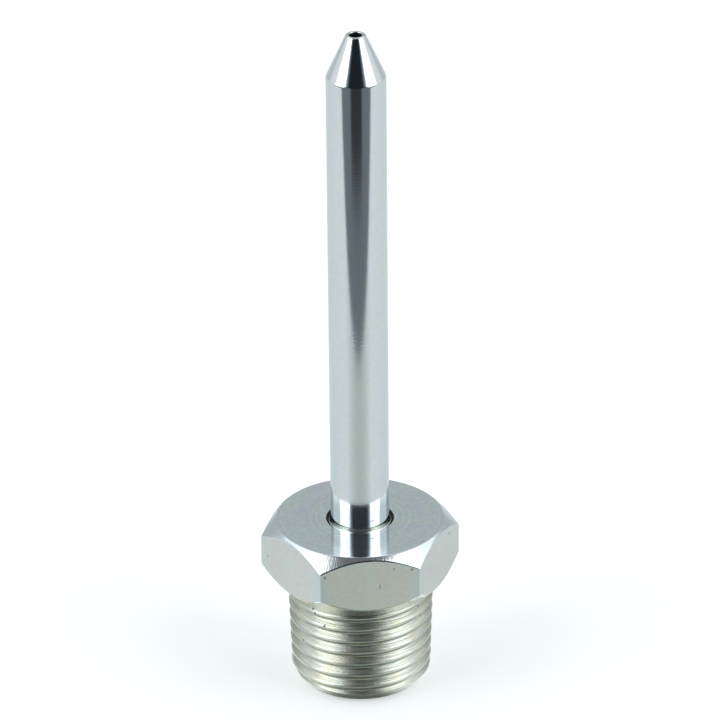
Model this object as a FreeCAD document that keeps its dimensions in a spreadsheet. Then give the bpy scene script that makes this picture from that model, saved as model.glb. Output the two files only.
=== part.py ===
import FreeCAD, Part
import os
import Sketcher

# Grease nipple coupler: a hexagon nipple with a tapered pipe thread below and a slim pointed
# stem above, which is set into the nipple and carries the grease to a small outlet in its nose.
# Millimetres, +Z up. The origin is the centre of the thread's end face, on which it stands.

DRIVING_SIZES = {
    # Taper thread R 1/8, whose gauge diameter is its major diameter one gauge length up.
    # Its depth is a share of the pitch, and it starts a share of a turn below the end face.
    "gauge_diameter": 9.728,
    "gauge_length": 3.1,
    "taper": 0.0625,
    "pitch": 0.907,
    "depth_per_pitch": 0.6403,
    "flank_angle": 27.5,
    "thread_length": 7.15,
    "lead_in_turns": 0.66,
    "runout_turns": 0.5,
    "end_diameter": 7.95,
    "end_chamfer_height": 0.9,
    # Hexagon
    "across_flats": 11.82,
    "hexagon_height": 4.92,
    "top_face_diameter": 11.64,
    "top_face_rise": 0.26,
    "top_chamfer_angle": 34.5,
    "underside_angle": 44.0,
    # Way through the nipple
    "inlet_diameter": 3.0,
    "inlet_countersink": 0.3,
    "seat_depth": 7.0,
    "seat_clearance": 0.02,
    "ring_gap_width": 0.32,
    "ring_gap_depth": 0.4,
    # Stem
    "stem_diameter": 4.0,
    "stem_reach": 35.9,
    "foot_chamfer": 0.3,
    "stem_bore_diameter": 2.0,
    "nose_length": 2.97,
    "nose_diameter": 1.3,
    "nose_rounding": 0.12,
    "outlet_diameter": 0.85,
    "outlet_length": 2.2,
    "drill_point_angle": 59.0,
}

# How far a cutting outline stands outside the metal that it cuts
OVERCUT = "0.1"

# Sizes that follow from the driving ones, as expressions of the sheet
END_RADIUS = "((sizes.gauge_diameter - sizes.gauge_length * sizes.taper) / 2)"
NECK_RADIUS = f"({END_RADIUS} + sizes.thread_length * sizes.taper / 2)"
CHAMFER_RADIUS = f"({END_RADIUS} + sizes.end_chamfer_height * sizes.taper / 2)"
THREAD_DEPTH = "(sizes.depth_per_pitch * sizes.pitch)"
ROOT_HALF_WIDTH = f"(sizes.pitch / 4 - {THREAD_DEPTH} * tan(sizes.flank_angle) / 2)"
FLANK_WIDTH = f"(({THREAD_DEPTH} + {OVERCUT}) * tan(sizes.flank_angle))"
TURNS = "floor(sizes.thread_length / sizes.pitch + sizes.lead_in_turns - 0.5)"
TAPER_ANGLE = "atan(sizes.taper / 2)"
RUNOUT_ANGLE = f"atan(({THREAD_DEPTH} + {OVERCUT}) / (sizes.runout_turns * sizes.pitch))"
SPARE_LENGTH = "(2 * sizes.pitch)"
SPARE_RADIUS = f"({END_RADIUS} - {SPARE_LENGTH} * sizes.taper / 2)"
CUT_LENGTH = f"({SPARE_LENGTH} + {OVERCUT})"

HEXAGON_TOP = "(sizes.thread_length + sizes.hexagon_height)"
CORNER_RADIUS = "(sizes.across_flats / 2 / cos(30))"
CUT_RADIUS = f"({CORNER_RADIUS} + {OVERCUT})"
CHAMFER_SLOPE = f"(sizes.end_chamfer_height / ({CHAMFER_RADIUS} - sizes.end_diameter / 2))"
END_CHAMFER_TOP = f"(({CUT_RADIUS} - sizes.end_diameter / 2) * {CHAMFER_SLOPE})"
TOP_FACE_RADIUS = "(sizes.top_face_diameter / 2)"
TOP_CHAMFER_START = f"({HEXAGON_TOP} - sizes.top_face_rise)"
SEAT_FLOOR = f"({HEXAGON_TOP} - sizes.seat_depth)"
SEAT_RADIUS = "(sizes.stem_diameter / 2 + sizes.seat_clearance)"
RING_GAP_RADIUS = "(sizes.stem_diameter / 2 + sizes.ring_gap_width)"
RING_GAP_FLOOR = f"({HEXAGON_TOP} - sizes.ring_gap_depth)"
INLET_RADIUS = "(sizes.inlet_diameter / 2)"

STEM_LENGTH = "(sizes.seat_depth + sizes.stem_reach)"
STEM_RADIUS = "(sizes.stem_diameter / 2)"
STEM_BORE_RADIUS = "(sizes.stem_bore_diameter / 2)"
NOSE_RADIUS = "(sizes.nose_diameter / 2)"
OUTLET_RADIUS = "(sizes.outlet_diameter / 2)"
OUTLET_START = f"({STEM_LENGTH} - sizes.outlet_length)"
DRILL_POINT = f"(({STEM_BORE_RADIUS} - {OUTLET_RADIUS}) / tan(sizes.drill_point_angle))"

document = FreeCAD.newDocument("grease_nipple_coupler")
sizes = document.addObject("Spreadsheet::Sheet", "sizes")
for row, (name, value) in enumerate(DRIVING_SIZES.items(), start=1):
    sizes.set(f"A{row}", name)
    sizes.set(f"B{row}", str(value))
    sizes.setAlias(f"B{row}", name)
document.recompute()


def value_of(expression):
    """The number that an expression of the sheet gives now."""
    return float(sizes.evalExpression(expression))


def origin_part(body, role):
    """One of the body's own origin planes or axes."""
    return next(part for part in body.Origin.OriginFeatures if part.Role == role)


def new_body(name):
    """An empty body whose label is the sub-part's name."""
    body = document.addObject("PartDesign::Body", name)
    body.Label = name
    return body


def outline(body, name, plane, corners, height="0"):
    """A closed outline of straight lines, each corner bound to the sheet, on an origin plane."""
    sketch = body.newObject("Sketcher::SketchObject", name)
    sketch.AttachmentSupport = [(origin_part(body, plane), "")]
    sketch.MapMode = "FlatFace"
    sketch.setExpression("AttachmentOffset.Base.z", height)
    points = [FreeCAD.Vector(value_of(x), value_of(y), 0) for x, y in corners]
    for start, end in zip(points, points[1:] + points[:1]):
        sketch.addGeometry(Part.LineSegment(start, end), False)
    for line, (x, y) in enumerate(corners):
        following = (line + 1) % len(corners)
        sketch.addConstraint(Sketcher.Constraint("Coincident", line, 2, following, 1))
        for direction, expression in (("DistanceX", x), ("DistanceY", y)):
            place = Sketcher.Constraint(direction, -1, 1, line, 1, value_of(expression))
            number = sketch.addConstraint(place)
            sketch.setExpression(f"Constraints[{number}]", expression)
    return sketch


def turn(body, name, kind, corners):
    """Turns a half section about the body's vertical axis: a Revolution adds, a Groove cuts."""
    section = outline(body, f"{name}_outline", "XZ_Plane", corners)
    volume = body.Shape.Volume if body.Tip else 0
    feature = body.newObject(f"PartDesign::{kind}", name)
    feature.Profile = section
    feature.ReferenceAxis = (origin_part(body, "Z_Axis"), [""])
    feature.Angle = 360
    document.recompute()
    if kind == "Groove" and body.Shape.Volume >= volume:
        raise ValueError(f"{name} cuts nothing")
    return feature


def thread_groove(body, name, first_turn, turns, cone_angle):
    """Cuts the thread's groove along a right-hand helix that starts a number of turns up."""
    height = f"(({first_turn} - sizes.lead_in_turns) * sizes.pitch)"
    crest = f"({END_RADIUS} + {height} * sizes.taper / 2)"
    root = f"({crest} - {THREAD_DEPTH})"
    mouth = f"({crest} + {OVERCUT})"
    mouth_half_width = f"({ROOT_HALF_WIDTH} + {FLANK_WIDTH})"
    section = outline(body, f"{name}_outline", "XZ_Plane", [
        (root, f"{height} - {ROOT_HALF_WIDTH}"),
        (mouth, f"{height} - {mouth_half_width}"),
        (mouth, f"{height} + {mouth_half_width}"),
        (root, f"{height} + {ROOT_HALF_WIDTH}"),
    ])
    volume = body.Shape.Volume
    helix = body.newObject("PartDesign::SubtractiveHelix", name)
    helix.Profile = section
    helix.ReferenceAxis = (origin_part(body, "Z_Axis"), [""])
    helix.Mode = "pitch-turns-angle"
    helix.setExpression("Pitch", "sizes.pitch")
    helix.setExpression("Turns", turns)
    helix.setExpression("Angle", cone_angle)
    document.recompute()
    if body.Shape.Volume >= volume:
        raise ValueError(f"{name} cuts nothing")
    return helix


def rim_at(shape, height, radius):
    """The name of the round edge about the vertical axis at a height, with a radius."""
    for number, edge in enumerate(shape.Edges, start=1):
        if not isinstance(edge.Curve, Part.Circle):
            continue
        misfit = max(abs(edge.Curve.Center.z - height), abs(edge.Curve.Radius - radius))
        if misfit < 1e-6:
            return f"Edge{number}"
    raise ValueError("no such rim")


# Hexagon nipple: a taper rod threaded with some length to spare, then cut to length and
# chamfered, and the hexagon on it, chamfered and bored
nipple = new_body("hex_nipple")
turn(nipple, "shank", "Revolution", [
    ("0", f"-{SPARE_LENGTH}"),
    (SPARE_RADIUS, f"-{SPARE_LENGTH}"),
    (NECK_RADIUS, "sizes.thread_length"),
    ("0", "sizes.thread_length"),
])
thread_groove(nipple, "thread", "0", TURNS, TAPER_ANGLE)
thread_groove(nipple, "thread_runout", TURNS, "sizes.runout_turns", RUNOUT_ANGLE)
turn(nipple, "end_cut", "Groove", [
    ("0", f"-{CUT_LENGTH}"),
    (CUT_RADIUS, f"-{CUT_LENGTH}"),
    (CUT_RADIUS, END_CHAMFER_TOP),
    ("sizes.end_diameter / 2", "0"),
    ("0", "0"),
])

hexagon_corners = [
    (f"{CORNER_RADIUS} * cos({angle})", f"{CORNER_RADIUS} * sin({angle})")
    for angle in range(0, 360, 60)
]
hexagon = nipple.newObject("PartDesign::Pad", "hexagon")
hexagon.Profile = outline(
    nipple, "hexagon_outline", "XY_Plane", hexagon_corners, height="sizes.thread_length"
)
hexagon.setExpression("Length", "sizes.hexagon_height")
document.recompute()

TOP_CUT = f"({CUT_RADIUS} - {TOP_FACE_RADIUS}) * tan(sizes.top_chamfer_angle)"
turn(nipple, "top_chamfer", "Groove", [
    (TOP_FACE_RADIUS, HEXAGON_TOP),
    (TOP_FACE_RADIUS, TOP_CHAMFER_START),
    (CUT_RADIUS, f"{TOP_CHAMFER_START} - {TOP_CUT}"),
    (CUT_RADIUS, HEXAGON_TOP),
])
UNDERSIDE_CUT = f"({CUT_RADIUS} - {NECK_RADIUS}) * tan(sizes.underside_angle)"
turn(nipple, "underside_cone", "Groove", [
    (NECK_RADIUS, "sizes.thread_length"),
    (CUT_RADIUS, "sizes.thread_length"),
    (CUT_RADIUS, f"sizes.thread_length + {UNDERSIDE_CUT}"),
])
turn(nipple, "way_through", "Groove", [
    ("0", "0"),
    (f"{INLET_RADIUS} + sizes.inlet_countersink", "0"),
    (INLET_RADIUS, "sizes.inlet_countersink"),
    (INLET_RADIUS, SEAT_FLOOR),
    (SEAT_RADIUS, SEAT_FLOOR),
    (SEAT_RADIUS, RING_GAP_FLOOR),
    (RING_GAP_RADIUS, RING_GAP_FLOOR),
    (RING_GAP_RADIUS, HEXAGON_TOP),
    ("0", HEXAGON_TOP),
])

# Stem: a drilled pin with a pointed nose, whose foot stands on the floor of the nipple's seat
stem = new_body("stem")
turn(stem, "pin", "Revolution", [
    ("0", "0"),
    (f"{STEM_RADIUS} - sizes.foot_chamfer", "0"),
    (STEM_RADIUS, "sizes.foot_chamfer"),
    (STEM_RADIUS, f"{STEM_LENGTH} - sizes.nose_length"),
    (NOSE_RADIUS, STEM_LENGTH),
    ("0", STEM_LENGTH),
])
grease_way = turn(stem, "grease_way", "Groove", [
    ("0", "0"),
    (STEM_BORE_RADIUS, "0"),
    (STEM_BORE_RADIUS, f"{OUTLET_START} - {DRILL_POINT}"),
    (OUTLET_RADIUS, OUTLET_START),
    (OUTLET_RADIUS, STEM_LENGTH),
    ("0", STEM_LENGTH),
])
nose_rim = rim_at(grease_way.Shape, value_of(STEM_LENGTH), value_of(NOSE_RADIUS))
rounding = stem.newObject("PartDesign::Fillet", "nose_rounding")
rounding.Base = (grease_way, [nose_rim])
rounding.setExpression("Radius", "sizes.nose_rounding")
stem.setExpression("Placement.Base.z", SEAT_FLOOR)
document.recompute()

for item in document.Objects:
    if "Invalid" in item.State or "Error" in item.State:
        raise ValueError(f"{item.Label} has failed")
os.makedirs("parts", exist_ok=True)
for body in (nipple, stem):
    if body.Shape.isNull() or not body.Shape.isValid() or len(body.Shape.Solids) != 1:
        raise ValueError(f"{body.Label} isn't one sound solid")
for body in (nipple, stem):
    body.Shape.exportStep(f"parts/{body.Label}.step")
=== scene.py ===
import math

import bpy
from mathutils import Matrix, Vector


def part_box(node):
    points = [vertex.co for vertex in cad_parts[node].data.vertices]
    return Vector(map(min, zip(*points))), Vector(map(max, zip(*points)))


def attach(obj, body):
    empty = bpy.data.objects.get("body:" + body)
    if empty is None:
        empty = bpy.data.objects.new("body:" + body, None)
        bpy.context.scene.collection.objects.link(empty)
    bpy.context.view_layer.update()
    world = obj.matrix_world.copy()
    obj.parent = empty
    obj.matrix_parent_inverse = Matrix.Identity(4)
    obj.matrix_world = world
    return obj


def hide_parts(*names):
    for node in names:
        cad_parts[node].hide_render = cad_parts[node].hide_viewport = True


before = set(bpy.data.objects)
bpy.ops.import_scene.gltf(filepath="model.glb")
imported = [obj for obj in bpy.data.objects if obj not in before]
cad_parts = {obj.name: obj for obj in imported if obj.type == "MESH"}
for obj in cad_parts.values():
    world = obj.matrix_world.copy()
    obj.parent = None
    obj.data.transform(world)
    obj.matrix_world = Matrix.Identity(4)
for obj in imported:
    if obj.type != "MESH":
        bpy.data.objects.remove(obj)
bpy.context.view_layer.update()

# The coupler's sizes are in millimetres, with +Z up along its axis; Blender's are in metres
MM = 0.001
AXIS = (0, 0, 1)

# Mesh work: points within WELD metres are one point, and faces within FLAT_ANGLE are one flat
WELD = 1e-7
FLAT_ANGLE = math.radians(0.3)
SHARP_ANGLE = math.radians(30)
ENLARGEMENT = 1024

# Half of the turn that one flat of the hexagon takes
HALF_FLAT_TURN = math.radians(30)

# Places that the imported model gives
nipple_low, nipple_high = (corner / MM for corner in map(Vector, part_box("hex_nipple")))
stem_low, stem_high = (corner / MM for corner in map(Vector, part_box("stem")))
HEX_TOP = nipple_high.z
ACROSS_FLATS = nipple_high.y - nipple_low.y
CORNER_RADIUS = ACROSS_FLATS / 2 / math.cos(HALF_FLAT_TURN)
STEM_RADIUS = (stem_high.x - stem_low.x) / 2
STEM_FOOT = stem_low.z
STEM_TIP = stem_high.z

# Hexagon; a turned shape has FLAT_SEGMENTS of its segments over each flat
TOP_FACE_RADIUS = 5.7
TOP_CHAMFER_ANGLE = math.radians(43)
UNDERSIDE_ANGLE = math.radians(44)
EDGE_ROUNDING = 0.08
EDGE_ANGLE = math.radians(25)
FLAT_SEGMENTS = 48
TURNED_SEGMENTS = 6 * FLAT_SEGMENTS

# Thread R 1/8 as its plated crests and roots show: a soft wave, 1 in 16 taper on the diameter.
# It starts a part of a turn below the end face, with whole turns to spare
THREAD_LENGTH = 7.15
PITCH = 0.907
WAVE_DEPTH = 0.36
WAVE_STEPS = 20
TAPER = 1 / 16
GAUGE_RADIUS = 9.728 / 2
GAUGE_LENGTH = 3.1
END_RADIUS = GAUGE_RADIUS - GAUGE_LENGTH * TAPER / 2
LEAD_IN = 0.66
SPARE_TURNS = 2
THREAD_TURNS = 11
THREAD_STEPS = 192
END_FACE_RADIUS = 3.975
END_CHAMFER = 0.9

# Core that carries the hexagon down into the thread, inside its roots
CORE_LENGTH = 1.4
CORE_ROOM = 0.05

# Way through both pieces
INLET_RADIUS = 1.5
INLET_COUNTERSINK = 0.3
SEAT_ROOM = 0.02
SEAT_RADIUS = STEM_RADIUS + SEAT_ROOM
STEM_BORE_RADIUS = 1.0
OUTLET_RADIUS = 0.425
OUTLET_LENGTH = 2.2
DRILL_POINT = 0.35

# Ring gap round the stem's foot, with its broken edge
RING_GAP_WIDTH = 0.32
RING_GAP_RADIUS = STEM_RADIUS + RING_GAP_WIDTH
RING_GAP_DEPTH = 0.4
RING_GAP_BREAK = 0.02

# Lip between the stem and the ring gap. Its outside flares towards its foot, on a quarter of an
# ellipse LIP_WIDTH wide and LIP_DROP deep, whose upright end lies LIP_RISE over the top face. It
# is drawn from LIP_START degrees round from that end, at the foot, and LIP_SWEEP degrees back up
LIP_WIDTH = 0.14
LIP_RISE = 0.2
LIP_DROP = 0.36
LIP_START = 80
LIP_SWEEP = 72
LIP_STEPS = 12

# Stem
NOSE_LENGTH = 2.97
NOSE_RADIUS = 0.65
FOOT_CHAMFER = 0.3
STEM_SEGMENTS = 256
STEM_EDGE_ANGLE = math.radians(15)

# How far each helping shape reaches past what it cuts or leaves
BLANK_SPARE = 0.5
BAR_SPARE = 1.0
GAP_SPARE = 0.1
THREAD_FOOT_SPARE = 0.2
THREAD_HEAD_SPARE = 0.4
WAY_SPARE = 0.5

# Camera, where the photograph's was; its places are in millimetres, as the lens is
CAMERA_AZIMUTH = math.radians(-6.35)
CAMERA_AHEAD = 331.73
CAMERA_HEIGHT = 193.78
CAMERA_TILT = math.radians(-27.09)
CAMERA_SWING = math.radians(-0.017)
CAMERA_ROLL = math.radians(-0.525)
LENS = 277.06
SENSOR_WIDTH = 36


def major_radius(height):
    """The thread's major radius at a height over its end face."""
    return END_RADIUS + height * TAPER / 2


def activate(piece):
    """Selects one piece and nothing else."""
    if bpy.context.object and bpy.context.object.mode != "OBJECT":
        bpy.ops.object.mode_set(mode="OBJECT")
    bpy.ops.object.select_all(action="DESELECT")
    piece.select_set(True)
    bpy.context.view_layer.objects.active = piece


def edit_all(piece):
    """Opens a piece in edit mode with all of it selected."""
    activate(piece)
    bpy.ops.object.mode_set(mode="EDIT")
    bpy.ops.mesh.select_all(action="SELECT")


def apply_modifier(piece, kind, **settings):
    """Adds a modifier with its settings and applies it."""
    activate(piece)
    modifier = piece.modifiers.new(kind.lower(), kind)
    for name, value in settings.items():
        setattr(modifier, name, value)
    bpy.ops.object.modifier_apply(modifier=modifier.name)


def drawn_line(name, points):
    """A line through points (radius, height), drawn point by point."""
    bpy.ops.object.select_all(action="DESELECT")
    bpy.ops.mesh.primitive_plane_add(size=MM)
    line = bpy.context.object
    line.name = name
    bpy.ops.object.mode_set(mode="EDIT")
    bpy.ops.mesh.merge(type="CENTER")
    radius, height = points[0]
    bpy.ops.transform.translate(value=(radius * MM, 0, height * MM))
    for (r0, z0), (r1, z1) in zip(points, points[1:]):
        step = ((r1 - r0) * MM, 0, (z1 - z0) * MM)
        bpy.ops.mesh.extrude_region_move(TRANSFORM_OT_translate={"value": step})
    bpy.ops.object.mode_set(mode="OBJECT")
    return line


def close_and_orient(piece):
    """Welds a shape's seams and turns its faces outwards."""
    edit_all(piece)
    bpy.ops.mesh.remove_doubles(threshold=WELD)
    bpy.ops.mesh.normals_make_consistent(inside=False)
    bpy.ops.object.mode_set(mode="OBJECT")


def turned(name, points, segments=TURNED_SEGMENTS):
    """A closed shape turned about the vertical axis from its half section."""
    piece = drawn_line(name, points)
    edit_all(piece)
    bpy.ops.mesh.spin(steps=segments, angle=math.tau, center=(0, 0, 0), axis=AXIS)
    close_and_orient(piece)
    return piece


def combine(piece, operation, tool):
    """Cuts, joins or intersects a piece with a tool shape, and merges the flats left in parts."""
    apply_modifier(piece, "BOOLEAN", operation=operation, object=tool, solver="EXACT")
    bpy.data.objects.remove(tool)
    edit_all(piece)
    bpy.ops.mesh.dissolve_degenerate(threshold=WELD)
    bpy.ops.mesh.dissolve_limited(angle_limit=FLAT_ANGLE)
    bpy.ops.object.mode_set(mode="OBJECT")


def round_edges(piece, segments, angle, clamp):
    """Rounds the edges that are sharper than the angle."""
    apply_modifier(
        piece,
        "BEVEL",
        width=EDGE_ROUNDING * MM,
        segments=segments,
        limit_method="ANGLE",
        angle_limit=angle,
        use_clamp_overlap=clamp,
    )


def resize(piece, factor):
    """Scales a piece's mesh about the origin."""
    edit_all(piece)
    bpy.ops.transform.resize(value=(factor, factor, factor), center_override=(0, 0, 0))
    bpy.ops.object.mode_set(mode="OBJECT")


def smooth(piece):
    """Smooth shading except over sharp edges; large faces stay flat.

    The modifier that weighs normals by area passes over faces this small, so the piece is
    enlarged for it, by a power of two that leaves its numbers exact.
    """
    activate(piece)
    bpy.ops.object.shade_smooth_by_angle(angle=SHARP_ANGLE)
    resize(piece, ENLARGEMENT)
    apply_modifier(piece, "WEIGHTED_NORMAL", keep_sharp=True)
    resize(piece, 1 / ENLARGEMENT)


def hexagon_head():
    """The hexagon between its turned top chamfer and conical underside, with its core."""
    outside = CORNER_RADIUS + BLANK_SPARE
    neck = major_radius(THREAD_LENGTH)
    core_foot = THREAD_LENGTH - CORE_LENGTH
    core_radius = neck - WAVE_DEPTH - CORE_ROOM
    inward = neck - core_radius
    blank = turned("turned_blank", [
        (0, core_foot),
        (core_radius, core_foot),
        (core_radius, THREAD_LENGTH - inward * math.tan(UNDERSIDE_ANGLE)),
        (outside, THREAD_LENGTH + (outside - neck) * math.tan(UNDERSIDE_ANGLE)),
        (outside, HEX_TOP - (outside - TOP_FACE_RADIUS) * math.tan(TOP_CHAMFER_ANGLE)),
        (TOP_FACE_RADIUS, HEX_TOP),
        (0, HEX_TOP),
    ])
    bar_height = HEX_TOP - core_foot + 2 * BAR_SPARE
    bpy.ops.object.select_all(action="DESELECT")
    bpy.ops.mesh.primitive_cylinder_add(
        vertices=6,
        radius=CORNER_RADIUS * MM,
        depth=bar_height * MM,
        location=(0, 0, (core_foot - BAR_SPARE + bar_height / 2) * MM),
        rotation=(0, 0, HALF_FLAT_TURN),
    )
    head = bpy.context.object
    head.name = "hexagon_bar"
    bpy.ops.object.transform_apply(location=True, rotation=True, scale=True)
    combine(head, "INTERSECT", blank)
    round_edges(head, segments=2, angle=EDGE_ANGLE, clamp=False)
    return head


def lipped_ring_gap(head):
    """Cuts the ring gap into the top face and leaves a flared lip between it and the stem."""
    gap_floor = HEX_TOP - RING_GAP_DEPTH
    combine(head, "DIFFERENCE", turned("ring_gap_cut", [
        (0, gap_floor),
        (RING_GAP_RADIUS, gap_floor),
        (RING_GAP_RADIUS, HEX_TOP - RING_GAP_BREAK),
        (RING_GAP_RADIUS + RING_GAP_BREAK + GAP_SPARE, HEX_TOP + GAP_SPARE),
        (0, HEX_TOP + GAP_SPARE),
    ]))
    flare = []
    for step in range(LIP_STEPS + 1):
        turn = math.radians(LIP_START - LIP_SWEEP * step / LIP_STEPS)
        flare.append((
            SEAT_RADIUS + LIP_WIDTH * (1 - math.cos(turn)),
            HEX_TOP + LIP_RISE - LIP_DROP * math.sin(turn),
        ))
    combine(head, "UNION", turned("lip", [
        (0, gap_floor - GAP_SPARE),
        (flare[0][0], gap_floor - GAP_SPARE),
        *flare,
        (0, flare[-1][1]),
    ]))


def threaded_shank():
    """The taper thread as a solid rod with rounded crests and roots, and its end chamfer."""
    start = -LEAD_IN * PITCH - SPARE_TURNS * PITCH
    wave = []
    for step in range(WAVE_STEPS + 1):
        share = step / WAVE_STEPS
        sink = WAVE_DEPTH / 2 * (1 + math.cos(share * math.tau))
        wave.append((END_RADIUS - sink, start + share * PITCH))
    shank = drawn_line("threaded_shank", wave)
    apply_modifier(
        shank,
        "SCREW",
        angle=math.tau,
        screw_offset=PITCH * MM,
        iterations=THREAD_TURNS,
        steps=THREAD_STEPS,
        render_steps=THREAD_STEPS,
        use_merge_vertices=True,
        merge_threshold=WELD,
    )
    height = shank.dimensions.z / MM
    apply_modifier(
        shank,
        "SIMPLE_DEFORM",
        deform_method="TAPER",
        deform_axis="Z",
        factor=height * TAPER / 2 / END_RADIUS,
    )
    close_and_orient(shank)
    foot = -THREAD_FOOT_SPARE
    head = THREAD_LENGTH + THREAD_HEAD_SPARE
    for level, side in ((foot, "clear_inner"), (head, "clear_outer")):
        edit_all(shank)
        bpy.ops.mesh.bisect(
            plane_co=(0, 0, level * MM),
            plane_no=AXIS,
            use_fill=True,
            threshold=WELD,
            **{side: True},
        )
        bpy.ops.object.mode_set(mode="OBJECT")
    close_and_orient(shank)
    outside = CORNER_RADIUS
    slope = END_CHAMFER / (major_radius(END_CHAMFER) - END_FACE_RADIUS)
    trim = turned("end_trim", [
        (0, 0),
        (END_FACE_RADIUS, 0),
        (outside, (outside - END_FACE_RADIUS) * slope),
        (outside, HEX_TOP),
        (0, HEX_TOP),
    ])
    combine(shank, "INTERSECT", trim)
    return shank


def hexagon_nipple():
    """The whole nipple as one piece: hexagon, ring gap, lip, thread and the way through it."""
    nipple = hexagon_head()
    lipped_ring_gap(nipple)
    combine(nipple, "UNION", threaded_shank())
    way = turned("way_through", [
        (0, -WAY_SPARE),
        (INLET_RADIUS + INLET_COUNTERSINK + WAY_SPARE, -WAY_SPARE),
        (INLET_RADIUS, INLET_COUNTERSINK),
        (INLET_RADIUS, STEM_FOOT),
        (SEAT_RADIUS, STEM_FOOT),
        (SEAT_RADIUS, HEX_TOP + WAY_SPARE),
        (0, HEX_TOP + WAY_SPARE),
    ])
    combine(nipple, "DIFFERENCE", way)
    close_and_orient(nipple)
    nipple.name = "hexagon_nipple"
    nipple.data.name = nipple.name
    smooth(nipple)
    return nipple


def pointed_stem():
    """The stem: a bored pin with a chamfered foot, a conical nose and a rounded outlet rim."""
    cone_start = STEM_TIP - NOSE_LENGTH
    outlet_start = STEM_TIP - OUTLET_LENGTH
    outline = [
        (STEM_RADIUS - FOOT_CHAMFER, STEM_FOOT),
        (STEM_RADIUS, STEM_FOOT + FOOT_CHAMFER),
        (STEM_RADIUS, cone_start),
        (NOSE_RADIUS, STEM_TIP),
        (OUTLET_RADIUS, STEM_TIP),
        (OUTLET_RADIUS, outlet_start),
        (STEM_BORE_RADIUS, outlet_start - DRILL_POINT),
        (STEM_BORE_RADIUS, STEM_FOOT),
    ]
    stem = turned("pointed_stem", outline + outline[:1], STEM_SEGMENTS)
    stem.data.name = stem.name
    round_edges(stem, segments=3, angle=STEM_EDGE_ANGLE, clamp=True)
    smooth(stem)
    return stem


# Nodes that the materials and the stage share
def feed(tree, socket, value):
    """Gives a socket its value: another node's output, a colour, a vector or a number."""
    if isinstance(value, bpy.types.NodeSocket):
        tree.links.new(value, socket)
    elif socket.type == "RGBA":
        socket.default_value = (*value, 1)
    else:
        socket.default_value = value


def maths(tree, operation, *values):
    """A Math node's result; each value is a number or another node's output."""
    node = tree.nodes.new("ShaderNodeMath")
    node.operation = operation
    for socket, value in zip(node.inputs, values):
        feed(tree, socket, value)
    return node.outputs[0]


def vector_maths(tree, operation, first, second=None):
    """A Vector Math node's result; the second value is a fixed vector, or a scale."""
    node = tree.nodes.new("ShaderNodeVectorMath")
    node.operation = operation
    feed(tree, node.inputs[0], first)
    if second is not None:
        feed(tree, node.inputs["Scale" if operation == "SCALE" else 1], second)
    return node.outputs["Value" if operation == "LENGTH" else "Vector"]


def merged(tree, operation, values):
    """One Math operation carried through a list of outputs."""
    result = values[0]
    for value in values[1:]:
        result = maths(tree, operation, result, value)
    return result


def ramp(tree, value, low, high, low_result=0.0, high_result=1.0):
    """A smooth step from one result to another as a value goes from low to high."""
    node = tree.nodes.new("ShaderNodeMapRange")
    node.interpolation_type = "SMOOTHSTEP"
    for socket, given in zip(node.inputs, (value, low, high, low_result, high_result)):
        feed(tree, socket, given)
    return node.outputs["Result"]


def fade(tree, value, low, high):
    """A smooth step from 1 down to 0 as a value goes from low to high."""
    return ramp(tree, value, low, high, 1.0, 0.0)


# A Mix node's share and its two colours, among the sockets for its other kinds
COLOUR_MIX_SOCKETS = (0, 6, 7)


def mixed(tree, share, first, second):
    """A colour between two; share 0 gives the first, and each is a colour or a node's output."""
    node = tree.nodes.new("ShaderNodeMix")
    node.data_type = "RGBA"
    for number, value in zip(COLOUR_MIX_SOCKETS, (share, first, second)):
        feed(tree, node.inputs[number], value)
    return node.outputs[2]


def noise(tree, place, scale, detail, dimensions="3D"):
    """Noise between 0 and 1; its scale counts per millimetre where the place is in millimetres."""
    node = tree.nodes.new("ShaderNodeTexNoise")
    node.noise_dimensions = dimensions
    feed(tree, node.inputs["W" if dimensions == "1D" else "Vector"], place)
    feed(tree, node.inputs["Scale"], scale)
    feed(tree, node.inputs["Detail"], detail)
    return node.outputs["Fac"]


def swing(tree, place, scale, detail, dimensions="3D"):
    """Noise that swings about 0."""
    return maths(tree, "SUBTRACT", noise(tree, place, scale, detail, dimensions), 0.5)


def place_on_piece(tree):
    """The point in millimetres, its distance from the axis, its height and its turn in radians."""
    coordinates = tree.nodes.new("ShaderNodeTexCoord")
    point = vector_maths(tree, "SCALE", coordinates.outputs["Object"], 1 / MM)
    parts = tree.nodes.new("ShaderNodeSeparateXYZ")
    tree.links.new(point, parts.inputs[0])
    x, y, height = parts.outputs
    squares = maths(tree, "MULTIPLY_ADD", x, x, maths(tree, "MULTIPLY", y, y))
    return point, maths(tree, "SQRT", squares), height, maths(tree, "ARCTAN2", y, x)


# Effects that the finishes share, as node groups with one result each
def effect(name, inputs, output, kind):
    """A new node group with named sockets; returns it with its inner inputs and output."""
    group = bpy.data.node_groups.new(name, "ShaderNodeTree")
    for label, input_kind, value in inputs:
        socket = group.interface.new_socket(name=label, in_out="INPUT", socket_type=input_kind)
        socket.default_value = value
    group.interface.new_socket(name=output, in_out="OUTPUT", socket_type=kind)
    entry = group.nodes.new("NodeGroupInput")
    end = group.nodes.new("NodeGroupOutput")
    return group, entry.outputs, end.inputs[output]


def use_effect(tree, group, **values):
    """A group's result in a material; a value is a number, a colour or a node's output."""
    node = tree.nodes.new("ShaderNodeGroup")
    node.node_tree = group
    for label, value in values.items():
        feed(tree, node.inputs[label.replace("_", " ")], value)
    return node.outputs[0]


STAIN_EDGE = (0.42, 0.66)
MOTTLE_SCALE = 3.5


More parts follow.
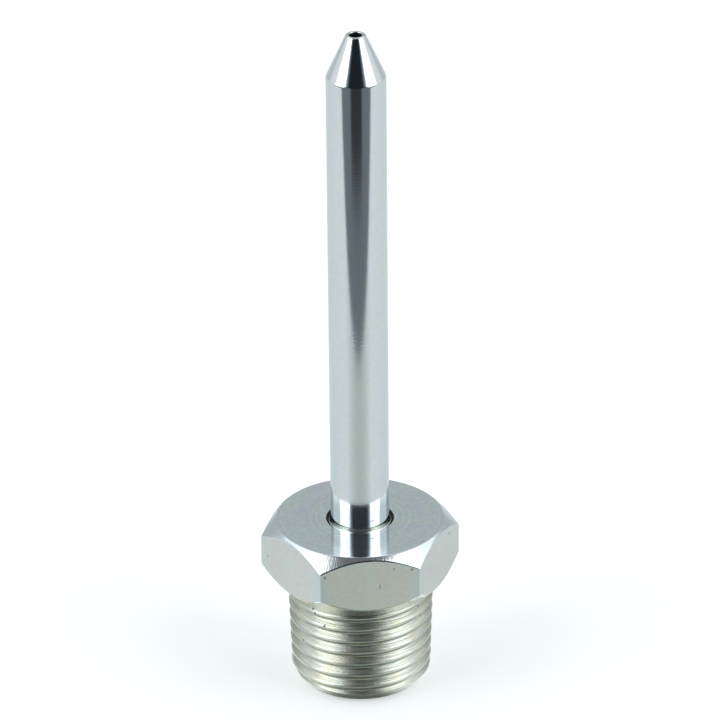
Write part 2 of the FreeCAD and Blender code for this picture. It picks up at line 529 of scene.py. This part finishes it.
def plate_stain_effect():
    """Cloudy stains of the zinc plating and a fine mottle in its brightness."""
    group, given, result = effect(
        "plate_stain",
        [
            ("Clean Colour", "NodeSocketColor", (1, 1, 1, 1)),
            ("Stain Colour", "NodeSocketColor", (1, 1, 1, 1)),
            ("Amount", "NodeSocketFloat", 1.0),
            ("Patch Size", "NodeSocketFloat", 1.0),
            ("Mottle", "NodeSocketFloat", 0.1),
        ],
        "Colour", "NodeSocketColor",
    )
    point, _, _, _ = place_on_piece(group)
    scale = maths(group, "DIVIDE", 1.0, given["Patch Size"])
    cloud = ramp(group, noise(group, point, scale, detail=4.0), *STAIN_EDGE)
    share = maths(group, "MULTIPLY", cloud, given["Amount"])
    colour = mixed(group, share, given["Clean Colour"], given["Stain Colour"])
    mottle = swing(group, point, MOTTLE_SCALE, detail=4.0)
    brightness = maths(group, "MULTIPLY_ADD", mottle, given["Mottle"], 1.0)
    group.links.new(vector_maths(group, "SCALE", colour, brightness), result)
    return group


def turning_marks_effect():
    """Fine rings that a turning tool leaves along a radius or a height."""
    group, given, result = effect(
        "turning_marks",
        [
            ("Along", "NodeSocketFloat", 0.0),
            ("Spacing", "NodeSocketFloat", 0.1),
            ("Depth", "NodeSocketFloat", 0.001),
        ],
        "Height", "NodeSocketFloat",
    )
    place = maths(group, "DIVIDE", given["Along"], given["Spacing"])
    rings = swing(group, place, 1.0, detail=3.0, dimensions="1D")
    group.links.new(maths(group, "MULTIPLY", rings, given["Depth"]), result)
    return group


CHATTER_ALONG_SLOPE = 1.6


def chatter_effect():
    """Ragged streaks down the slope of a turned chamfer."""
    group, given, result = effect(
        "chatter",
        [("Per Radian", "NodeSocketFloat", 60.0), ("Depth", "NodeSocketFloat", 0.002)],
        "Height", "NodeSocketFloat",
    )
    _, radius, _, turn = place_on_piece(group)
    place = group.nodes.new("ShaderNodeCombineXYZ")
    feed(group, place.inputs["X"], maths(group, "MULTIPLY", turn, given["Per Radian"]))
    feed(group, place.inputs["Y"], maths(group, "MULTIPLY", radius, CHATTER_ALONG_SLOPE))
    streaks = swing(group, place.outputs[0], 1.0, detail=4.0)
    group.links.new(maths(group, "MULTIPLY", streaks, given["Depth"]), result)
    return group


PLATE_STAIN = plate_stain_effect()
TURNING_MARKS = turning_marks_effect()
CHATTER = chatter_effect()


# Finishes
SPOT_FADE = (0.2, 1.0)
DARK_MARK = (0.03, 0.03, 0.028)
MARK_FADE = (0.8, 1.4)
MARK_RAGGEDNESS = 0.8
MARK_RAG_SCALE = 9.0


def empty_material(name):
    """A new material with a shader; returns its node tree."""
    material = bpy.data.materials.new(name)
    material.use_nodes = True
    return material.node_tree


def steel(name, colour, roughness, heights=(), metallic=1.0):
    """Plated steel; colour is a colour or a node's output, heights are bumps in millimetres."""
    material = bpy.data.materials[name]
    tree = material.node_tree
    shader = tree.nodes["Principled BSDF"]
    for label, value in (("Base Color", colour), ("Roughness", roughness), ("Metallic", metallic)):
        feed(tree, shader.inputs[label], value)
    if heights:
        bump = tree.nodes.new("ShaderNodeBump")
        bump.inputs["Distance"].default_value = MM
        tree.links.new(merged(tree, "ADD", heights), bump.inputs["Height"])
        tree.links.new(bump.outputs["Normal"], shader.inputs["Normal"])
    return material


def reach_from(tree, point, centre, size):
    """The distance from a centre, as a share of a size that differs along each axis."""
    offset = vector_maths(tree, "SUBTRACT", point, centre)
    return vector_maths(tree, "LENGTH", vector_maths(tree, "DIVIDE", offset, size))


def soft_spots(tree, point, places):
    """A mask of soft spots; each place is a centre, a size and a strength."""
    spots = []
    for centre, size, strength in places:
        spot = fade(tree, reach_from(tree, point, centre, size), *SPOT_FADE)
        spots.append(maths(tree, "MULTIPLY", spot, strength))
    return merged(tree, "MAXIMUM", spots)


def marked(tree, colour, point, places, strength):
    """A colour with small ragged dark marks; each place is a centre and a size."""
    ragged = maths(
        tree, "MULTIPLY", noise(tree, point, MARK_RAG_SCALE, detail=3.0), MARK_RAGGEDNESS
    )
    spots = []
    for centre, size in places:
        reach = maths(tree, "ADD", reach_from(tree, point, centre, size), ragged)
        spots.append(fade(tree, reach, *MARK_FADE))
    share = maths(tree, "MULTIPLY", merged(tree, "MAXIMUM", spots), strength)
    return mixed(tree, share, colour, DARK_MARK)


def ring_toned(tree, colour, along, spacing, depth):
    """A colour with lighter and darker rings along a radius or a height."""
    tone = use_effect(tree, TURNING_MARKS, Along=along, Spacing=spacing, Depth=depth)
    return vector_maths(tree, "SCALE", colour, maths(tree, "ADD", tone, 1.0))


def grain(tree, point, scale, detail, depth):
    """The height of a fine grain."""
    return maths(tree, "MULTIPLY", noise(tree, point, scale, detail), depth)


# Milled flats: their edge colour grows between two distances from a flat's middle, and fades
# between two heights over its foot
FLAT_SIDES = (2.3, 3.4)
FLAT_FOOT = (THREAD_LENGTH + 0.3, THREAD_LENGTH + 1.6)
FLAT_EDGE_SHARE = 0.8
FLAT_EDGE_COLOUR = (0.78, 0.825, 0.81)
BLUE_FILM = (0.71, 0.79, 0.83)
FILM_SPOTS = [
    ((-3.6, -5.8, 9.6), (1.2, 1.0, 3.6), 0.9),
    ((3.3, -5.9, 9.6), (0.9, 1.0, 3.6), 0.5),
]
FLAT_MARKS = [
    ((-3.07, -5.91, 10.81), (0.10, 0.3, 0.16)),
    ((2.84, -5.91, 11.04), (0.14, 0.3, 0.12)),
    ((0.66, -5.91, 9.85), (0.05, 0.3, 0.28)),
    ((1.62, -5.91, 11.16), (0.06, 0.3, 0.10)),
    ((5.96, -1.49, 11.21), (0.25, 0.32, 0.05)),
    ((-6.42, -0.71, 9.88), (0.3, 0.12, 0.07)),
]


def milled_flats():
    """The hexagon's flats: straw and rose in their middles, bluer along their edges."""
    tree = empty_material("milled_flats")
    point, radius, height, turn = place_on_piece(tree)
    from_middle = maths(tree, "WRAP", turn, HALF_FLAT_TURN, -HALF_FLAT_TURN)
    aside = maths(tree, "MULTIPLY", radius, maths(tree, "SINE", from_middle))
    near_side = ramp(tree, maths(tree, "ABSOLUTE", aside), *FLAT_SIDES)
    near_foot = fade(tree, height, *FLAT_FOOT)
    edge = maths(tree, "MULTIPLY", maths(tree, "MAXIMUM", near_side, near_foot), FLAT_EDGE_SHARE)
    middle = use_effect(
        tree, PLATE_STAIN, Clean_Colour=(0.78, 0.8, 0.765), Stain_Colour=(0.81, 0.775, 0.76),
        Amount=0.8, Patch_Size=1.5, Mottle=0.2,
    )
    colour = mixed(tree, edge, middle, FLAT_EDGE_COLOUR)
    colour = mixed(tree, soft_spots(tree, point, FILM_SPOTS), colour, BLUE_FILM)
    colour = marked(tree, colour, point, FLAT_MARKS, strength=0.6)
    heights = [grain(tree, point, scale=5.0, detail=4.0, depth=0.004)]
    return steel("milled_flats", colour, roughness=0.3, heights=heights)


def turned_face():
    """The hexagon's top face: a clean turned mirror with faint rings."""
    tree = empty_material("turned_face")
    _, radius, _, _ = place_on_piece(tree)
    plate = use_effect(
        tree, PLATE_STAIN, Clean_Colour=(0.745, 0.85, 0.815), Stain_Colour=(0.75, 0.795, 0.855),
        Amount=1.0, Patch_Size=1.5, Mottle=0.3,
    )
    rings = use_effect(tree, TURNING_MARKS, Along=radius, Spacing=0.14, Depth=0.0012)
    waves = use_effect(tree, TURNING_MARKS, Along=radius, Spacing=0.6, Depth=0.003)
    colour = ring_toned(tree, plate, radius, spacing=0.22, depth=0.15)
    return steel("turned_face", colour, roughness=0.11, heights=[rings, waves], metallic=0.96)


def turned_chamfer():
    """The hexagon's top chamfer and its rim: bright, with ragged streaks of chatter."""
    tree = empty_material("turned_chamfer")
    colour = use_effect(
        tree, PLATE_STAIN, Clean_Colour=(0.75, 0.825, 0.85), Stain_Colour=(0.73, 0.78, 0.815),
        Amount=1.0, Patch_Size=0.6, Mottle=0.12,
    )
    streaks = use_effect(tree, CHATTER, Per_Radian=70.0, Depth=0.009)
    return steel("turned_chamfer", colour, roughness=0.14, heights=[streaks])


# Thread: painted shade darkens its grooves from GROOVE_START under the crest down to the root
GROOVE_START = 0.1
GROOVE_SHADE_SHARE = 0.2
GROOVE_SHADE_COLOUR = (0.42, 0.43, 0.38)
THREAD_MARKS = [
    ((-3.64, -3.22, 6.94), (0.10, 0.10, 0.10)),
    ((-3.53, -3.50, 6.73), (0.10, 0.10, 0.16)),
    ((-2.94, -3.95, 5.97), (0.14, 0.14, 0.12)),
    ((-4.24, -2.41, 4.08), (0.08, 0.08, 0.10)),
    ((3.57, -2.90, 6.54), (0.12, 0.12, 0.14)),
    ((3.78, -2.62, 5.58), (0.08, 0.08, 0.10)),
]


def thread_plate():
    """The thread, its run-out and its end: straw-tinted plate, with painted shade in its grooves.
    """
    tree = empty_material("thread_plate")
    point, radius, height, _ = place_on_piece(tree)
    crest = maths(tree, "MULTIPLY_ADD", height, TAPER / 2, END_RADIUS)
    groove_shade = ramp(tree, maths(tree, "SUBTRACT", crest, radius), GROOVE_START, WAVE_DEPTH)
    plate = use_effect(
        tree, PLATE_STAIN, Clean_Colour=(0.545, 0.572, 0.52), Stain_Colour=(0.57, 0.555, 0.455),
        Amount=0.9, Patch_Size=1.1, Mottle=0.2,
    )
    # Painted shade: the colour darkens towards the roots of the grooves
    colour = mixed(tree, maths(tree, "MULTIPLY", groove_shade, GROOVE_SHADE_SHARE), plate, GROOVE_SHADE_COLOUR)
    colour = marked(tree, colour, point, THREAD_MARKS, strength=0.85)
    colour = ring_toned(tree, colour, height, spacing=0.14, depth=0.3)
    heights = [
        grain(tree, point, scale=6.0, detail=4.0, depth=0.006),
        use_effect(tree, TURNING_MARKS, Along=height, Spacing=0.05, Depth=0.018),
        use_effect(tree, TURNING_MARKS, Along=height, Spacing=0.14, Depth=0.007),
    ]
    return steel("thread_plate", colour, roughness=0.26, heights=heights)


# Stem: painted shade darkens its foot and clears between two heights over the hexagon
STEM_MARKS = [((0.62, -1.9, 12.75), (0.24, 0.3, 0.06))]
FOOT_SHADE_HEIGHTS = (HEX_TOP + 1.3, HEX_TOP + 2.5)
FOOT_SHADE_LEVEL = 0.7


def stem_plate():
    """The stem's skin: bright bluish plate with faint straw clouds, fine turning rings and painted
    shade at its foot.
    """
    tree = empty_material("stem_plate")
    point, _, height, _ = place_on_piece(tree)
    plate = use_effect(
        tree, PLATE_STAIN, Clean_Colour=(0.785, 0.825, 0.87), Stain_Colour=(0.82, 0.83, 0.81),
        Amount=0.7, Patch_Size=1.8, Mottle=0.16,
    )
    colour = marked(tree, plate, point, STEM_MARKS, strength=0.6)
    # Painted shade: the colour darkens towards the foot, dimming the stem's reflection there
    shade = ramp(tree, height, *FOOT_SHADE_HEIGHTS, FOOT_SHADE_LEVEL, 1.0)
    colour = vector_maths(tree, "SCALE", colour, shade)
    heights = [
        use_effect(tree, TURNING_MARKS, Along=height, Spacing=0.12, Depth=0.0006),
        grain(tree, point, scale=7.0, detail=3.0, depth=0.002),
    ]
    return steel("stem_plate", colour, roughness=0.105, heights=heights)


def dark_bore():
    """Painted shade for the unlit insides of the holes and the ring gap's floor: near black."""
    empty_material("dark_bore")
    return steel("dark_bore", (0.012, 0.012, 0.013), roughness=0.55, metallic=0.0)


def ring_gap():
    """The ring gap's wall and the lip's outside: plain smooth plate."""
    empty_material("ring_gap")
    return steel("ring_gap", (0.7, 0.75, 0.72), roughness=0.2)


# Which face has which finish: how near a level a face lies, how level or upright it stands, how
# high the hexagon's chamfer starts over the thread, and how deep the outlet's rim is
NEAR = 0.01
SEAT_NEAR = 0.001
LEVEL_NORMAL = 0.99
UPRIGHT_NORMAL = 0.1
CHAMFER_FOOT = THREAD_LENGTH + 1.5
RIM_DEPTH = 0.05


def nipple_finish(centre, normal):
    """The name of the finish of one face of the nipple, by its middle in millimetres.

    The ring gap's floor goes by its direction, because the middle of a ring isn't on it.
    """
    radius = math.hypot(centre.x, centre.y)
    if normal.z > LEVEL_NORMAL and centre.z > HEX_TOP - NEAR:
        return "turned_face"
    if radius < RING_GAP_RADIUS + RING_GAP_BREAK and centre.z > NEAR:
        # Painted shade: the seat round the stem and the ring gap's floor take the bores' near black
        in_shade = radius < SEAT_RADIUS + SEAT_NEAR or normal.z > LEVEL_NORMAL
        return "dark_bore" if in_shade else "ring_gap"
    if centre.z > THREAD_LENGTH and abs(normal.z) < UPRIGHT_NORMAL:
        return "milled_flats"
    return "turned_chamfer" if centre.z > CHAMFER_FOOT else "thread_plate"


def stem_finish(centre, normal):
    """The name of the finish of one face of the stem, by its middle in millimetres."""
    inward = centre.x * normal.x + centre.y * normal.y < 0
    # Painted shade: the stem's bore, below the outlet's rim, takes the bores' near black
    return "dark_bore" if inward and centre.z < STEM_TIP - RIM_DEPTH else "stem_plate"


def finish_faces(piece, materials, chosen):
    """Gives a piece its materials and each face the one that its place and direction call for."""
    names = [material.name for material in materials]
    for material in materials:
        piece.data.materials.append(material)
    for face in piece.data.polygons:
        face.material_index = names.index(chosen(face.center / MM, face.normal))


nipple = hexagon_nipple()
BORE = dark_bore()
finish_faces(
    nipple,
    [thread_plate(), milled_flats(), turned_face(), turned_chamfer(), ring_gap(), BORE],
    nipple_finish,
)
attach(nipple, "root")
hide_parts("hex_nipple")

stem = pointed_stem()
finish_faces(stem, [stem_plate(), BORE], stem_finish)
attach(stem, "root")
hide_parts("stem")

camera_data = bpy.data.cameras.new("camera")
camera_data.lens = LENS
camera_data.sensor_width = SENSOR_WIDTH
camera = bpy.data.objects.new("camera", camera_data)
bpy.context.scene.collection.objects.link(camera)
camera.matrix_world = (
    Matrix.Rotation(CAMERA_AZIMUTH, 4, "Z")
    @ Matrix.Translation((0, -CAMERA_AHEAD * MM, CAMERA_HEIGHT * MM))
    @ Matrix.Rotation(CAMERA_SWING, 4, "Z")
    @ Matrix.Rotation(math.pi / 2 + CAMERA_TILT, 4, "X")
    @ Matrix.Rotation(CAMERA_ROLL, 4, "Z")
)
bpy.context.scene.camera = camera

# Floor: a white sheet round the coupler, in metres, with a glow that only the camera sees
SHEET_SIZE = 6
FLOOR_COLOUR = (0.8, 0.82, 0.84)
FLOOR_LIFT = 0.36

# Second sheet, which only reflections see, in metres: white to the coupler's sides and shaded
# before it, then a table edge, and past it a dark gap where the camera is. A slant is the
# distance aside as a share of the distance ahead
SHEET_LIFT = 0.0002
NEAREST = 0.0001
REFLECTED_WHITE = (0.81, 0.85, 0.84)
SHADED_COLOUR = (0.54, 0.585, 0.53)
SHADE_SLANTS = (0.0, 1.2)
TABLE_COLOUR = (0.16, 0.182, 0.2)
TABLE_EDGE = 0.0507
EDGE_BEND = 0.003
EDGE_BLUR = 0.0006
GAP_COLOUR = (0.034, 0.037, 0.042)
GAP_SLANTS = (0.3, 0.46)
GAP_START = (0.07, 0.09)
FOOT_GLOW = 0.7
GLOW_SLANTS = (0.3, 0.9)
GLOW_REACH = (0.010, 0.017)


def matt_material(name):
    """A new matt stage material; returns it with its node tree and its shader."""
    tree = empty_material(name)
    shader = tree.nodes["Principled BSDF"]
    shader.inputs["Roughness"].default_value = 1
    shader.inputs["Specular IOR Level"].default_value = 0
    return bpy.data.materials[name], tree, shader


def white_sheet():
    """Pale grey, with a glow for the camera alone that turns it white."""
    material, tree, shader = matt_material("white_sheet")
    shader.inputs["Base Color"].default_value = (*FLOOR_COLOUR, 1)
    shader.inputs["Emission Color"].default_value = (1, 1, 1, 1)
    path = tree.nodes.new("ShaderNodeLightPath")
    glow = maths(tree, "MULTIPLY", path.outputs["Is Camera Ray"], FLOOR_LIFT)
    tree.links.new(glow, shader.inputs["Emission Strength"])
    return material


def reflected_table():
    """The reflected sheet's colours, by the distance ahead of the coupler and to its side."""
    material, tree, shader = matt_material("reflected_table")
    place = tree.nodes.new("ShaderNodeTexCoord")
    parts = tree.nodes.new("ShaderNodeSeparateXYZ")
    tree.links.new(place.outputs["Object"], parts.inputs[0])
    ahead = maths(tree, "MAXIMUM", maths(tree, "MULTIPLY", parts.outputs["Y"], -1.0), NEAREST)
    slant = maths(tree, "DIVIDE", maths(tree, "ABSOLUTE", parts.outputs["X"]), ahead)
    near = mixed(tree, ramp(tree, slant, *SHADE_SLANTS), SHADED_COLOUR, REFLECTED_WHITE)
    in_gap = maths(tree, "MULTIPLY", fade(tree, slant, *GAP_SLANTS), ramp(tree, ahead, *GAP_START))
    far = mixed(tree, in_gap, TABLE_COLOUR, GAP_COLOUR)
    bent = maths(tree, "MULTIPLY_ADD", slant, -EDGE_BEND, ahead)
    past_edge = ramp(tree, bent, TABLE_EDGE - EDGE_BLUR, TABLE_EDGE + EDGE_BLUR)
    tree.links.new(mixed(tree, past_edge, near, far), shader.inputs["Base Color"])
    reach = vector_maths(tree, "LENGTH", place.outputs["Object"])
    # Painted light: the sheet glows near the coupler's foot, which brightens the thread's
    # reflections
    by_foot = maths(
        tree, "MULTIPLY", ramp(tree, slant, *GLOW_SLANTS), fade(tree, reach, *GLOW_REACH)
    )
    shader.inputs["Emission Color"].default_value = (*REFLECTED_WHITE, 1)
    glow = maths(tree, "MULTIPLY", by_foot, FOOT_GLOW)
    tree.links.new(glow, shader.inputs["Emission Strength"])
    return material


bpy.ops.object.select_all(action="DESELECT")
bpy.ops.mesh.primitive_plane_add(size=SHEET_SIZE)
floor = bpy.context.object
floor.name = "floor"
floor.data.materials.append(white_sheet())

bpy.ops.mesh.primitive_plane_add(
    size=SHEET_SIZE, rotation=(0, 0, CAMERA_AZIMUTH), location=(0, 0, SHEET_LIFT)
)
table = bpy.context.object
table.name = "reflected_table"
table.data.materials.append(reflected_table())
table.visible_camera = False
table.visible_diffuse = False
table.visible_shadow = False

# Softboxes, one on each side of the camera, in metres; they face the coupler's middle
SOFTBOX_AZIMUTH = math.radians(62)
SOFTBOX_ELEVATION = math.radians(28)
SOFTBOX_WIDTH = 0.35
SOFTBOX_HEIGHT = 0.51
SOFTBOX_DISTANCE = 0.5
SOFTBOX_RADIANCE = 1.5


def softbox(name, side):
    """A rectangular lamp that faces the coupler; side is -1 left of the camera, 1 right of it."""
    lamp = bpy.data.lights.new(name, "AREA")
    lamp.shape = "RECTANGLE"
    lamp.size = SOFTBOX_WIDTH
    lamp.size_y = SOFTBOX_HEIGHT
    lamp.energy = SOFTBOX_RADIANCE * math.pi * SOFTBOX_WIDTH * SOFTBOX_HEIGHT
    box = bpy.data.objects.new(name, lamp)
    bpy.context.scene.collection.objects.link(box)
    middle = Matrix.Translation((0, 0, STEM_TIP / 2 * MM))
    around = Matrix.Rotation(CAMERA_AZIMUTH + side * SOFTBOX_AZIMUTH, 4, "Z")
    up = Matrix.Rotation(math.pi / 2 - SOFTBOX_ELEVATION, 4, "X")
    box.matrix_world = middle @ around @ up @ Matrix.Translation((0, 0, SOFTBOX_DISTANCE))


softbox("softbox_left", -1)
softbox("softbox_right", 1)

# Tent of light round the coupler, by parts of a direction: sideways and behind as the camera sees
# it, and up. The tent is dimmer behind, has a canopy overhead, and a dark slit for the camera
# that narrows upwards and is a little lighter at its top
TENT_BEHIND = (0.1, 0.85)
TENT_FRONT_LEVEL = 0.85
TENT_BACK_LEVEL = 0.5
TENT_TINT = (0.93, 0.98, 1)
CANOPY_UP = (0.34, 0.5)
CANOPY_BEHIND = (0.48, 0.66)
CANOPY_LEVEL = 1.25
SLIT_HALF_WIDTH = 0.51
SLIT_NARROWING = 0.3
SLIT_BLUR = 0.36
SLIT_BEHIND = (0.2, 0.35)
SLIT_TOP = (0.5, 0.85)
SLIT_LOW_LEVEL = 0.018
SLIT_TOP_LEVEL = 0.16
SLIT_LOW_TINT = (0.72, 0.92, 1.15)
SLIT_TOP_TINT = (1, 0.97, 0.96)


def studio_world():
    """A pale tent with a canopy and a dark slit; the camera itself sees plain white."""
    world = bpy.data.worlds.new("studio")
    world.use_nodes = True
    tree = world.node_tree
    place = tree.nodes.new("ShaderNodeTexCoord")
    turned_place = tree.nodes.new("ShaderNodeVectorRotate")
    turned_place.rotation_type = "Z_AXIS"
    turned_place.inputs["Angle"].default_value = -CAMERA_AZIMUTH
    tree.links.new(place.outputs["Generated"], turned_place.inputs["Vector"])
    parts = tree.nodes.new("ShaderNodeSeparateXYZ")
    tree.links.new(turned_place.outputs[0], parts.inputs[0])
    sideways, behind, up = parts.outputs
    tent = ramp(tree, behind, *TENT_BEHIND, TENT_FRONT_LEVEL, TENT_BACK_LEVEL)
    canopy = maths(tree, "MULTIPLY", ramp(tree, up, *CANOPY_UP), fade(tree, behind, *CANOPY_BEHIND))
    dome = maths(tree, "MAXIMUM", tent, maths(tree, "MULTIPLY", canopy, CANOPY_LEVEL))
    slit_half = maths(tree, "MULTIPLY_ADD", up, -SLIT_NARROWING, SLIT_HALF_WIDTH)
    past_edge = maths(tree, "SUBTRACT", maths(tree, "ABSOLUTE", sideways), slit_half)
    outside = ramp(tree, past_edge, 0.0, SLIT_BLUR)
    beyond = maths(tree, "MAXIMUM", outside, ramp(tree, behind, *SLIT_BEHIND))
    in_slit = ramp(tree, up, *SLIT_TOP, SLIT_LOW_LEVEL, SLIT_TOP_LEVEL)
    level = maths(tree, "MAXIMUM", maths(tree, "MULTIPLY", dome, beyond), in_slit)
    slit_tint = mixed(tree, ramp(tree, up, *SLIT_TOP), SLIT_LOW_TINT, SLIT_TOP_TINT)
    tint = mixed(tree, beyond, slit_tint, TENT_TINT)
    path = tree.nodes.new("ShaderNodeLightPath")
    shown = maths(tree, "MAXIMUM", level, path.outputs["Is Camera Ray"])
    background = tree.nodes["Background"]
    tree.links.new(tint, background.inputs["Color"])
    tree.links.new(shown, background.inputs["Strength"])
    bpy.context.scene.world = world


studio_world()

bpy.context.scene.view_settings.view_transform = "Standard"
